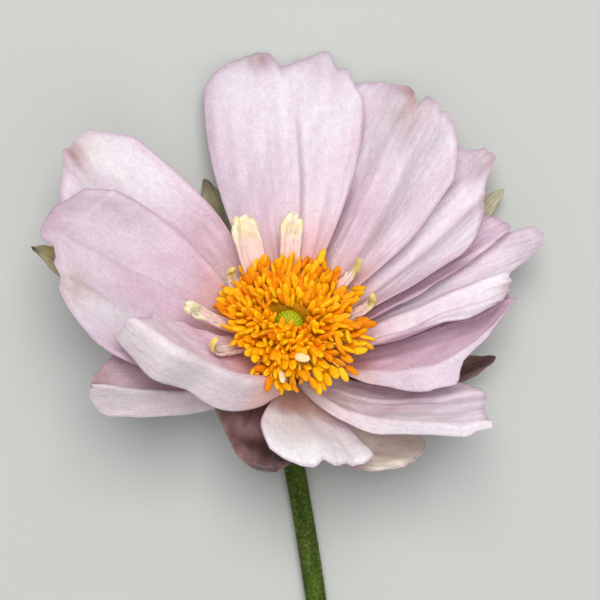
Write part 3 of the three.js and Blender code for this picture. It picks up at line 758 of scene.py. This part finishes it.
def tepal_tint(blade, seed, u, v, s, face):
    """Pinker towards the root and the margins, with a mauve rim, patches of tint and of painted shade and
    light, stains and yellow dust.
    """
    a = np.abs(v)
    warm = 0.6 * (1 - smooth(0.15, 0.85, s)) + 0.2 * ripple(v * 1.1, s * 1.6, seed + 7)
    warm = warm + 0.25 * smooth(0.7, 1, a)
    tint = mix(blade.get("tone", PALE), PINK, np.clip(warm + blade.get("pink", 0.03), 0, 1))
    tint = mix(tint, DEEP, blade.get("deep", 0.7) * (1 - smooth(0.05, 0.42, s)))
    tint = mix(tint, BACK, face * 0.6)
    rim = np.maximum(smooth(0.95, 1, a), smooth(0.96, 1, u))
    tint = mix(tint, EDGE, 0.5 * rim * smooth(0.25, 0.5, s))
    tint = patched(tint, blade, seed, v, s)
    stains = [(*stain, STAIN) for stain in blade.get("stains", ())]
    tint = spotted(tint, stains, u, v, np.clip(0.85 + 0.35 * ripple(v * 3, s * 5, seed + 9), 0, 1.2))
    # A rolled margin gets its lighter lip colour: painted light on the lip, beside a face that lies in shade.
    if "lip" in blade:
        ridge = ridge_line(blade, s)
        rolled = on_side(v, blade["roll"][0], smooth(ridge, ridge + 0.1, a))
        lip = mix(blade["lip"], PINK, blade.get("lip_pink", 0) * (1 - smooth(0.15, 0.45, s)))
        tint = mix(tint, lip, 0.85 * rolled)
    dust = blade.get("dust", 0.35) * (1 - smooth(0.16, 0.4, s))
    return mix(tint, DUST, np.clip(dust, 0, 1))


def vein_layer(blade, number, v, s, face):
    """Where the veins run, and a number that sets each blade's veins apart."""
    return np.stack([v, s * blade["length"], number + 0.4 * face], -1)


def make_tepals():
    for i, blade in enumerate(TEPALS):
        seed = 100 + 11 * i
        points, faces, u, v, s, face = blade_arrays(blade, seed, *TEPAL_GRID, TEPAL_THICK, 0.35)
        layers = {
            "tint": tepal_tint(blade, seed, u, v, s, face),
            "vein": vein_layer(blade, i, v, s, face),
        }
        node = "tepal_%02d" % (i + 1)
        add_object("petal_%02d" % (i + 1), points, faces, layers, TEPAL_SKIN, [node])


# The outer tepals
OLIVE = rgb(140, 140, 86)
PALE_OLIVE = rgb(190, 182, 150)
PLUM = rgb(156, 116, 114)
DARK = rgb(88, 58, 54)
HAIR = rgb(176, 168, 150)
OUTER_THICK = 0.55
OUTER_GRID = ((60, 30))
OUTER_HAIRS = 700


def hair_arrays(roots, ways, lengths, radius):
    """Thin three-sided spikes from roots along ways."""
    points = []
    faces = []
    for root, way, length in zip(roots, ways, lengths):
        side = unit(np.cross(way, (0.31, 0.87, 0.38)))
        other = np.cross(way, side)
        foot = root - 0.1 * way
        faces += shifted([(0, 1, 3), (1, 2, 3), (2, 0, 3)], len(points))
        points += [foot + radius * (math.cos(a) * side + math.sin(a) * other) for a in circle(3)]
        points.append(root + way * length)
    points = np.array(points)
    points[:, 2] = np.maximum(points[:, 2], LOWEST)
    return points, faces


def outer_tint(blade, seed, v, s, face):
    """Olive inside and plum outside, in broad patches, with a dark tip."""
    patch = ripple(v * 0.9, s * 1.8, seed + 3)
    pale = np.clip(blade.get("pale", 0.65) + 0.45 * patch, 0, 1)
    inside = mix(blade.get("green", OLIVE), PALE_OLIVE, pale)
    outside = mix(PLUM, DARK, np.clip(0.45 + 0.55 * patch, 0, 1))
    outside = mix(outside, OLIVE, 0.4 * smooth(0.6, 1, np.abs(v)))
    tint = mix(inside, outside, np.maximum(face, blade.get("plum", 0)))
    tint = mix(tint, DARK, blade.get("tip", 0.7) * smooth(0.86, 1, s))
    return patched(tint, blade, seed, v, s)


def back_hairs(inner, outer, seed):
    """Short hairs on the back of a blade, from its inner and outer points."""
    r = np.random.RandomState(seed)
    picks = r.randint(0, len(outer), OUTER_HAIRS)
    ways = unit(unit(outer[picks] - inner[picks]) + r.normal(0, 0.5, (OUTER_HAIRS, 3)))
    return hair_arrays(outer[picks], ways, r.uniform(0.25, 0.55, OUTER_HAIRS), 0.025)


def make_outer_tepals():
    for i, blade in enumerate(OUTER_TEPALS):
        seed = 400 + 13 * i
        points, faces, _, v, s, face = blade_arrays(blade, seed, *OUTER_GRID, OUTER_THICK, 0.5)
        inner, outer = np.split(points, 2)
        hairs, hair_faces = back_hairs(inner, outer, seed)
        faces += shifted(hair_faces, len(points))
        tint = outer_tint(blade, seed, v, s, face)
        vein = vein_layer(blade, 30 + i, v, s, face)
        layers = {
            "tint": np.concatenate([tint, np.tile(HAIR, (len(hairs), 1))]),
            "vein": np.concatenate([vein, np.zeros((len(hairs), 3))]),
        }
        points = np.concatenate([points, hairs])
        node = "outer_tepal_%d" % (i + 1)
        add_object("outer_petal_%d" % (i + 1), points, faces, layers, OUTER_SKIN, [node])


# The staminodes
CREAM = rgb(252, 242, 222)
BLUSH = rgb(246, 214, 208)
YELLOW_CREAM = rgb(244, 226, 150)
HOOK_YELLOW = rgb(240, 206, 90)
STAMINODE_THICK = 0.5
STAMINODE_GRID = ((56, 18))


def staminode_tint(blade, seed, v, s):
    """Blushing below and cream above, with yellow spots. The hooked ones have yellow tips."""
    tint = mix(BLUSH, CREAM, smooth(0.7, 0.84, s) * 0.9 + 0.1 * smooth(0.5, 1, np.abs(v)))
    spots = np.clip(0.5 * ripple(v * 1.3, s * 5, seed) + 0.25, 0, 1) * smooth(0.74, 0.84, s)
    tint = mix(tint, YELLOW_CREAM, np.clip(0.2 * smooth(0.75, 0.9, s) + 0.6 * spots, 0, 1))
    if blade["bulb"] == HOOK["bulb"]:
        tint = mix(tint, HOOK_YELLOW, 0.75 * smooth(0.66, 0.9, s))
    return tint


def make_staminodes():
    for i, blade in enumerate(STAMINODES):
        seed = 600 + 7 * i
        points, faces, _, v, s, _ = blade_arrays(blade, seed, *STAMINODE_GRID, STAMINODE_THICK, 0.6)
        layers = {"tint": staminode_tint(blade, seed, v, s)}
        node = "staminode_%d" % (i + 1)
        add_object("staminode_blade_%d" % (i + 1), points, faces, layers, STAMINODE_SKIN, [node])


# The boss of stamens
STAMENS = 300
UNDER = 150  # shorter stamens that fill the boss below the others
INNERMOST = 2.7
OUTERMOST = 10.4
BOSS_CENTRE = 1.8
CUSHION = [(2.5, 3.1), (3.2, 3.3), (4.2, 4.3), (4.5, 5), (4.1, 5.6), (3.3, 5.7), (2.5, 5.1), (2.5, 3.1)]
FILAMENT_RADII = [0.15, 0.13, 0.12, 0.11, 0.12]
ANTHER_RINGS = 7
ANTHER_SIDES = 10
ANTHER = rgb(253, 170, 2)
ANTHER_DARK = rgb(234, 126, 0)
ANTHER_LIGHT = rgb(255, 200, 14)
FADED = (133, 235)  # stamens with a withered, pale anther
ANTHER_FADED = rgb(250, 228, 172)
FILAMENT_TINT = rgb(250, 190, 40)
# Darker orange than the filaments: partly the cushion's own colour and partly painted shade deep in the boss.
CUSHION_TINT_AND_PAINTED_SHADE = rgb(196, 134, 14)


def frame_of(way):
    """Two ways square to a way and to each other."""
    side = np.cross(way, (0.12, 0.31, 0.94))
    if np.linalg.norm(side) < 1e-3:
        side = np.cross(way, (1, 0, 0))
    side = unit(side)
    return side, np.cross(way, side)


def tube(path, radii, sides):
    """A closed tube along a path of points."""
    path = np.asarray(path, float)
    rings = len(path)
    points = []
    side, _ = frame_of(unit(path[1] - path[0]))
    for i, centre in enumerate(path):
        way = unit(path[min(i + 1, rings - 1)] - path[max(i - 1, 0)])
        side = unit(side - way * np.dot(side, way))
        other = np.cross(way, side)
        points += [centre + radii[i] * (math.cos(a) * side + math.sin(a) * other) for a in circle(sides)]
    faces = ring_faces(rings, sides)
    faces.append(tuple(range(sides - 1, -1, -1)))
    faces.append(tuple((rings - 1) * sides + k for k in range(sides)))
    return points, faces


def anther(base, way, length, width, spin):
    """Two lobes side by side with a groove between them."""
    across, through = frame_of(way)
    side = across * math.cos(spin) + through * math.sin(spin)
    other = through * math.cos(spin) - across * math.sin(spin)
    points = [base - way * 0.02]
    for i in range(1, ANTHER_RINGS):
        t = i / ANTHER_RINGS
        bulge = math.sin(math.pi * t**0.85) ** 0.4
        for a in circle(ANTHER_SIDES):
            lobe = 1 - 0.42 * abs(math.cos(a)) ** 2.5
            x = math.sin(a) * width / 2 * bulge
            y = math.cos(a) * width * 0.42 * bulge * lobe
            points.append(base + way * (length * t) + side * x + other * y)
    points.append(base + way * length)
    faces = shifted(ring_faces(ANTHER_RINGS - 1, ANTHER_SIDES), 1)
    last = 1 + (ANTHER_RINGS - 2) * ANTHER_SIDES
    for k in range(ANTHER_SIDES):
        after = (k + 1) % ANTHER_SIDES
        faces.append((0, 1 + after, 1 + k))
        faces.append((last + k, last + after, len(points) - 1))
    return points, faces


def lathe(profile, sides):
    """Radius and height pairs turned about +Z."""
    points = []
    for radius, height in profile:
        points += [np.array([radius * math.cos(a), radius * math.sin(a), height]) for a in circle(sides)]
    return points, ring_faces(len(profile), sides)


def within(az, middle, degrees):
    return math.cos(az - math.radians(middle)) > math.cos(math.radians(degrees))


def stamen_places(r):
    """Feet on the cushion and tips over the dome, pushed apart."""
    feet = []
    tips = []
    for i in range(STAMENS + UNDER):
        share = (i + 0.5) / STAMENS if i < STAMENS else r.random()
        from_axis = math.sqrt(INNERMOST**2 + (OUTERMOST**2 - INNERMOST**2) * share)
        s = (from_axis - INNERMOST) / (OUTERMOST - INNERMOST)
        even = i < STAMENS + UNDER / 2
        az = math.radians(i * GOLDEN_ANGLE + (r.random() - 0.5) * 14 if even else r.gauss(258, 38))
        beside = any(within(az, b["az"], 10) for b in STAMINODES)
        folded = within(az, 225, 24)
        widest = 60 if folded else 54 if beside else 68 - 9 * math.sin(az)
        nearest = 27 + 6 * math.sin(az)
        polar = math.radians(nearest + (widest - nearest) * s + (r.random() - 0.5) * 5)
        reach = 5.8 + (4.6 if beside or folded else 5.5 + 0.6 * math.cos(az)) * s + (r.random() - 0.5) * 1.1
        reach = reach if i < STAMENS else 5 + (reach - 5) * (0.55 + 0.3 * r.random())
        radial = np.array([math.cos(az), math.sin(az), 0])
        feet.append(radial * (2.9 + 1.2 * s) + np.array([0, 0, 4.7 - 0.2 * s]))
        tip = radial * math.sin(polar) * reach
        tips.append(tip + np.array([0, 0, BOSS_CENTRE + math.cos(polar) * reach]))
    tips = np.array(tips)
    for _ in range(30):
        apart = tips[:, None] - tips[None]
        far = np.linalg.norm(apart, axis=-1) + np.eye(len(tips)) * 9
        push = np.clip(1 - far, 0, 1) / far
        tips = tips + (apart * push[..., None]).sum(1) * 0.35
    return feet, tips


def make_stamens():
    r = random.Random(41)
    pile = Pile()
    # The cushion is painted darker than the filaments, partly as painted shade between the anthers.
    pile.add(*lathe(CUSHION, 48), CUSHION_TINT_AND_PAINTED_SHADE)
    for i, (foot, tip) in enumerate(zip(*stamen_places(r))):
        length = 1.9 + 0.8 * r.random()
        width = 0.9 + 0.28 * r.random()
        way = unit(unit(tip - foot) + np.array([r.gauss(0, 0.26) for _ in range(3)]))
        base = tip - way * length * 0.8
        bow = foot + (base - foot) * 0.5 + np.array([0, 0, 0.5 + 0.4 * r.random()])
        path = [bezier((foot, bow, base), t) for t in (0, 0.25, 0.5, 0.75, 1)]
        pile.add(*tube(path, FILAMENT_RADII, 5), FILAMENT_TINT * (0.8 + 0.3 * r.random()))
        shape = anther(base, way, length, width, r.random() * math.pi)
        shade = r.random()
        other, share = (ANTHER_DARK, 0.9 * shade) if r.random() < 0.45 else (ANTHER_LIGHT, shade)
        pile.add(*shape, ANTHER_FADED if i in FADED else mix(ANTHER, other, share))
    points = place(np.array(pile.points))
    add_object("stamen_boss", points, pile.faces, {"tint": pile.tint}, STAMEN_SKIN, ["stamens"])


# The carpels
CARPEL_RADIUS = 2
CARPEL_HEIGHT = 4.4
CARPELS = 150
CARPEL_GRID = ((90, 150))
CARPEL_GREEN = rgb(190, 200, 26)
# Darker green for the gaps between the bumps, as painted shade.
CARPEL_GAP_PAINTED_SHADE = rgb(166, 178, 12)
CARPEL_TIP = rgb(204, 212, 60)


def on_sphere(height, az):
    """Ways from the middle of a sphere to places on it."""
    level = np.sqrt(np.maximum(1 - height * height, 0))
    return np.stack([level * np.cos(az), level * np.sin(az), height], -1)


def make_carpels():
    """A dome with one bump for each pistil."""
    rings, sides = CARPEL_GRID
    polar, az = np.meshgrid(np.linspace(0, math.radians(128), rings), circle(sides), indexing="ij")
    way = on_sphere(np.cos(polar), az)
    k = np.arange(CARPELS)
    seeds = on_sphere(1 - (k + 0.5) / CARPELS * 1.55, np.radians(k * GOLDEN_ANGLE))
    near = np.max(way.reshape(-1, 3) @ seeds.T, axis=1).reshape(way.shape[:2])
    gap = np.arccos(np.clip(near, -1, 1))
    bump = 1 - smooth(0, 0.13, gap)
    tip = 1 - smooth(0, 0.045, gap)
    radius = CARPEL_RADIUS - 0.12 + 0.13 * bump + 0.06 * tip
    points = way * radius[..., None] + np.array([0, 0, CARPEL_HEIGHT])
    points[..., 2] = np.maximum(points[..., 2], CARPEL_HEIGHT - 1.3)
    # The gaps between the bumps are painted darker, as painted shade, and each tip is lighter.
    tint = mix(mix(CARPEL_GAP_PAINTED_SHADE, CARPEL_GREEN, bump), CARPEL_TIP, 0.8 * tip)
    faces = [(a, d, c, b) for a, b, c, d in ring_faces(rings, sides)]
    faces.append(tuple((rings - 1) * sides + j for j in range(sides - 1, -1, -1)))
    layers = {"tint": tint.reshape(-1, 3)}
    add_object("carpel_head", place(points.reshape(-1, 3)), faces, layers, CARPEL_SKIN, ["carpels"])


# The stem
STEM_RADIUS = 1.4
STEM_REACH = 76
STEM_SIDES = 40
STEM_HAIRS = 7000
NECK_HEIGHT = -1.5  # where the neck leaves the head
NECK_DROP = 5
NECK_FOOT = 11  # from the head to where the neck meets the floor
CUP = [(0.01, -6.4), (1.4, -6.4), (2.4, -6.1), (2.9, -5.4), (2.9, -2), (2.9, 0), (2.9, 1.7), (2.2, 2.5),
       (0.01, 2.7)]
CUT = [(0.01, -0.1), (1.2, -0.1), (1.3, 0), (1.22, 0.03), (0.9, 0.04), (0.5, 0.03), (0.4, 0), (0.01, -0.03)]
STEM_GREEN = rgb(44, 62, 8)
STEM_LIGHT = rgb(72, 94, 24)
STEM_HAIR = rgb(132, 148, 84)
STEM_CUT = rgb(196, 206, 150)
STEM_HAIR_PALE = rgb(190, 196, 158)
STEM_PLUM = rgb(66, 48, 34)
CUP_TOP = rgb(214, 160, 84)


def stem_path():
    """The neck and the bow, as the frame's solid has them."""
    axis = LEAN @ np.array([0, 0, 1])
    start = np.array([0, 0, HEAD[2]]) + axis * NECK_HEIGHT
    touch = np.array([0.16, -NECK_FOOT, STEM_RADIUS])
    heading = np.array([0.2, -1, 0])
    neck = (start, start - axis * NECK_DROP, touch - heading * 4.5, touch)
    end = np.array([7.8, -STEM_REACH, STEM_RADIUS])
    bow = (touch, touch + heading * (STEM_REACH - NECK_FOOT) / 2, end)
    path = [bezier(neck, t) for t in np.linspace(0, 1, 24)]
    path += [bezier(bow, t) for t in np.linspace(0, 1, 90)[1:]]
    return np.array(path) + np.array([HEAD[0], HEAD[1], 0])


def ribbed_stem(path):
    """The stem with faint ribs, green and darker towards the head."""
    n = len(path)
    radii = [STEM_RADIUS * (1 - 0.01 * (1 + math.sin(i * 0.37))) for i in range(n)]
    points, faces = tube(path, radii, STEM_SIDES)
    around = np.tile(np.arange(STEM_SIDES) / STEM_SIDES, n)
    along = np.repeat(np.arange(n) / n, STEM_SIDES)
    centres = np.repeat(path, STEM_SIDES, axis=0)
    ribs = 1 - 0.03 * (0.5 + 0.5 * np.cos(around * 2 * math.pi * 9))
    points = centres + (np.array(points) - centres) * ribs[:, None]
    tone = 0.5 + 0.35 * ripple(around * 3, along * 9, 77, 8)
    plum = 0.6 * (1 - smooth(0, 0.2, along)) + 0.25 * ripple(around * 2, along * 5, 78, 5)
    tint = mix(STEM_GREEN, STEM_LIGHT, np.clip(tone, 0, 1))
    return points, faces, mix(tint, STEM_PLUM, np.clip(plum, 0, 0.8))


def receptacle():
    """The cup that the blades and the stamens grow on."""
    points, faces = lathe(CUP, 32)
    tint = [mix(STEM_LIGHT, CUP_TOP, smooth(-5, -2, p[2])) for p in points]
    return place(np.array(points)), faces, tint


def cut_face(path):
    ahead = unit(path[-1] - path[-2])
    side, other = frame_of(ahead)
    disc, faces = lathe(CUT, 32)
    points = [path[-1] + side * p[0] + other * p[1] + ahead * p[2] for p in disc]
    tint = [mix(STEM_CUT, STEM_GREEN, smooth(1, 1.3, math.hypot(p[0], p[1]))) for p in disc]
    return points, faces, tint


def stem_hairs(path, skin):
    """Fine hairs that stand off the stem and end above the floor."""
    r = np.random.RandomState(9)
    ring = r.randint(20, len(path) - 1, STEM_HAIRS)
    turn = r.randint(0, STEM_SIDES, STEM_HAIRS)
    share = r.uniform(0, 1, (STEM_HAIRS, 1))
    skin = skin.reshape(len(path), STEM_SIDES, 3)
    roots = skin[ring, turn] * (1 - share) + skin[ring + 1, turn] * share
    ways = 0.7 * unit(skin[ring, turn] - path[ring]) + r.normal(0, 0.5, (STEM_HAIRS, 3))
    ways[:, 2] = np.abs(ways[:, 2]) * np.where(roots[:, 2] < 0.9, 1, np.sign(ways[:, 2]))
    ways = unit(ways)
    room = (roots[:, 2] - LOWEST) / np.maximum(-ways[:, 2], 0.05)
    lengths = np.minimum(r.uniform(0.2, 0.5, STEM_HAIRS), np.where(ways[:, 2] < 0, room, 1))
    points, faces = hair_arrays(roots, ways, lengths, 0.02)
    pale = np.repeat(r.uniform(0, 1, STEM_HAIRS) ** 2, 4)
    return points, faces, mix(STEM_HAIR, STEM_HAIR_PALE, pale)


def make_stem():
    path = stem_path()
    skin = ribbed_stem(path)
    pile = Pile()
    for shape in (skin, receptacle(), cut_face(path), stem_hairs(path, skin[0])):
        pile.add(*shape)
    add_object("stalk", pile.points, pile.faces, {"tint": pile.tint}, STEM_SKIN, ["stem"])


# The floor and the light, in metres
FLOOR_HALF = 1.5
LIGHT_TARGET = (0, 0.02, 0.01)


def make_floor():
    material, _, _ = node_material("floor", 0.9, Base_Color=(*rgb(197, 199, 195), 1), Specular_IOR_Level=0.2)
    mesh = bpy.data.meshes.new("floor")
    corners = [(x * FLOOR_HALF, y * FLOOR_HALF, 0) for x, y in ((-1, -1), (1, -1), (1, 1), (-1, 1))]
    mesh.from_pydata(corners, [], [(0, 1, 2, 3)])
    mesh.materials.append(material)
    floor = new_object("floor", mesh)


def area_light(name, location, size, power, colour):
    light = new_object(name, bpy.data.lights.new(name, "AREA"))
    light.data.size = size
    light.data.energy = power
    light.data.color = colour
    light.location = location
    light.rotation_euler = (Vector(location) - Vector(LIGHT_TARGET)).to_track_quat("Z", "Y").to_euler()


def make_world():
    world = bpy.data.worlds.new("studio")
    world.use_nodes = True
    background = world.node_tree.nodes["Background"]
    background.inputs["Color"].default_value = (0.95, 0.97, 1, 1)
    background.inputs["Strength"].default_value = 0.34
    bpy.context.scene.world = world
    bpy.context.scene.view_settings.view_transform = "Standard"


make_camera()
make_tepals()
make_outer_tepals()
make_staminodes()
make_stamens()
make_carpels()
make_stem()
make_floor()
area_light("sky", (0.04, 0.34, 0.86), 0.55, 6.7, (1, 0.99, 0.98))
area_light("fill", (0.15, -0.45, 0.8), 0.9, 1.9, (0.97, 0.98, 1))
make_world()
